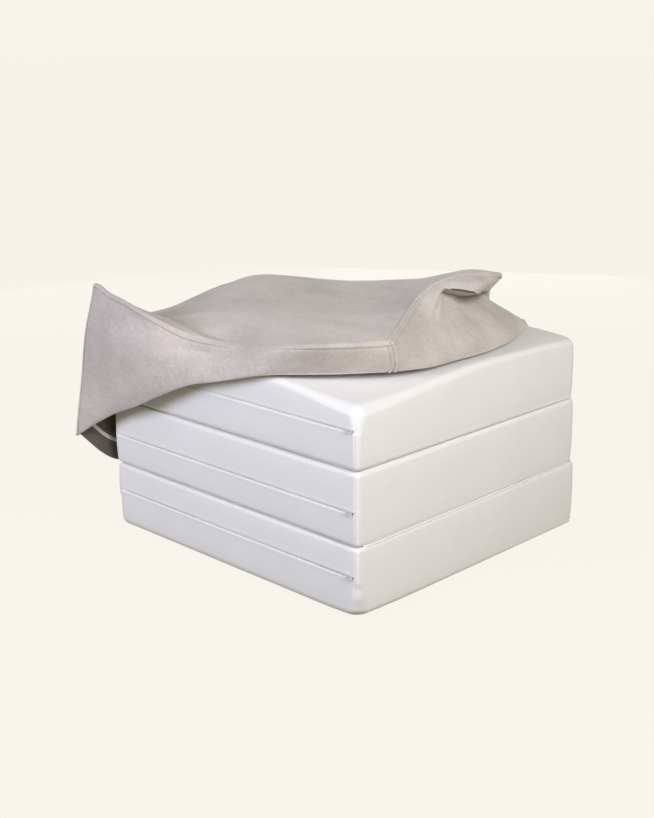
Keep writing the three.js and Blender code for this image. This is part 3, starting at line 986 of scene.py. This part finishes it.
def hem_binding():
    """The pale bound edge of the turned-in hem, on the inside of the panel over the left side."""
    grid = net_grid(LEFT_NET, CLOTH_STEP)
    heights = np.linspace(0, 1, grid.shape[0])
    flat_grid = grid.reshape(grid.shape[0], -1)
    rows = []
    for share in np.linspace(*BINDING_PLACE, BINDING_ROWS):
        row = np.array([np.interp(share, heights, values) for values in flat_grid.T])
        rows.append(row.reshape(-1, 3))
    strip = np.array(rows)[:, BINDING_ENDS:-BINDING_ENDS]
    arch = BINDING_ARCH * np.sin(np.linspace(0, math.pi, BINDING_ROWS))[:, None, None]
    strip = strip - grid_normals(strip) * (CLOTH / 2 + BINDING_LIFT + arch)
    obj = sheet_mesh("cover_hem_binding", strip, BINDING_THICKNESS)
    use_material(obj, BINDING)
    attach(obj, "outer_cover")
    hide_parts("cover_hem_tape")
    press_flat(obj)


top_rows = cover_panel("top", TOP_NET, "cover_top_panel", ALL_SEAMS, 1)
front_rows = cover_panel("front", FRONT_NET, "cover_front_border", HUNG_SEAMS, -1)
rear_rows = cover_panel("rear", REAR_NET, "cover_rear_border", HUNG_SEAMS, 1)
right_rows = plain_panel("right", RIGHT_NET, "cover_right_border", -1, pressed=False)
left_rows = plain_panel("left", LEFT_NET, "cover_left_border", 1, pressed=True)
hem_binding()

across_rows = top_rows + front_rows + rear_rows
kept_rows = [row for row in across_rows if (row[0][0] + row[1][0]) / 2 >= FOLD_X]
pressed_rows = [row for row in across_rows if (row[0][0] + row[1][0]) / 2 < FOLD_X]
stitch_mesh("cover_stitches", kept_rows + right_rows)
press_flat(stitch_mesh("cover_edge_stitches", pressed_rows + left_rows))


# ---------------------------------------------------------------- camera, light and floor

CAMERA_AZIMUTH = math.radians(44.51)
CAMERA_ELEVATION = math.radians(16.51)
CAMERA_ROLL = math.radians(0.458)
CAMERA_TARGET = Vector((-0.2290, 0.1796, 0.1497))
CAMERA_DISTANCE = 2.7587
CAMERA_LENS = 55.73
BACKGROUND = (0.921, 0.896, 0.823)
FLOOR_GLOW = 0.985  # share of the background's brightness that the floor gives off by itself
AMBIENT = (0.20, 0.18, 0.12)

# Name, place, point aimed at, diameter, power and colour. The keys light the sides that the photograph shows,
# and the fills the two sides behind.
LIGHTS = [
    ("right key", (2.24, -0.65, 1.56), (0, 0, 0.25), 1.15, 52.5, (0.962, 0.965, 0.992)),
    ("front key", (-0.4, -2.47, 1.22), (0, 0, 0.25), 1.15, 43.5, (0.775, 0.803, 0.992)),
    ("rear fill", (-1.5, 2.3, 0.55), (0, 0, 0.25), 1.6, 26, (0.85, 0.88, 1.0)),
    ("left fill", (-2.6, 0.7, 0.5), (0, 0, 0.25), 1.6, 14, (0.85, 0.88, 1.0)),
]


def add_camera():
    back = Vector((
        math.sin(CAMERA_AZIMUTH) * math.cos(CAMERA_ELEVATION),
        -math.cos(CAMERA_AZIMUTH) * math.cos(CAMERA_ELEVATION),
        math.sin(CAMERA_ELEVATION),
    ))
    data = bpy.data.cameras.new("camera")
    data.lens = CAMERA_LENS
    data.clip_end = 50
    obj = bpy.data.objects.new("camera", data)
    turn = back.to_track_quat("Z", "Y") @ Matrix.Rotation(-CAMERA_ROLL, 3, "Z").to_quaternion()
    obj.matrix_world = Matrix.Translation(CAMERA_TARGET + back * CAMERA_DISTANCE) @ turn.to_matrix().to_4x4()
    bpy.context.scene.collection.objects.link(obj)
    bpy.context.scene.camera = obj


def add_area_light(name, location, aim, size, power, color):
    data = bpy.data.lights.new(name, "AREA")
    data.shape = "DISK"
    data.size = size
    data.energy = power
    data.color = color
    obj = bpy.data.objects.new(name, data)
    obj.location = location
    obj.rotation_euler = (Vector(aim) - Vector(location)).to_track_quat("-Z", "Y").to_euler()
    bpy.context.scene.collection.objects.link(obj)


def add_floor():
    """A pale floor that runs out to the horizon and glows a little, as a lit studio sweep does."""
    size = 60.0
    drop = -0.001
    corners = [(-size, -size, drop), (size, -size, drop), (size, size, drop), (-size, size, drop)]
    floor = mesh_object("floor", corners, [(0, 1, 2, 3)], smooth=False)
    material, _, shader = nodes_of("floor")
    shader.inputs["Base Color"].default_value = (0.03, 0.029, 0.027, 1)
    shader.inputs["Roughness"].default_value = 1.0
    shader.inputs["Specular IOR Level"].default_value = 0.0
    shader.inputs["Emission Color"].default_value = BACKGROUND + (1,)
    shader.inputs["Emission Strength"].default_value = FLOOR_GLOW
    floor.data.materials.append(material)
    floor.visible_diffuse = False


def add_world():
    """An even pale backdrop to the camera, and a weak warm light from all round to everything else."""
    world = bpy.data.worlds.new("studio")
    world.use_nodes = True
    tree = world.node_tree
    seen = tree.nodes["Background"]
    seen.inputs["Color"].default_value = BACKGROUND + (1,)
    glow = tree.nodes.new("ShaderNodeBackground")
    glow.inputs["Color"].default_value = AMBIENT + (1,)
    path = tree.nodes.new("ShaderNodeLightPath")
    mix = tree.nodes.new("ShaderNodeMixShader")
    tree.links.new(path.outputs["Is Camera Ray"], mix.inputs["Fac"])
    tree.links.new(glow.outputs["Background"], mix.inputs[1])
    tree.links.new(seen.outputs["Background"], mix.inputs[2])
    tree.links.new(mix.outputs["Shader"], tree.nodes["World Output"].inputs["Surface"])
    bpy.context.scene.world = world


add_camera()
add_world()
add_floor()
for light in LIGHTS:
    add_area_light(*light)
bpy.context.scene.view_settings.view_transform = "Standard"
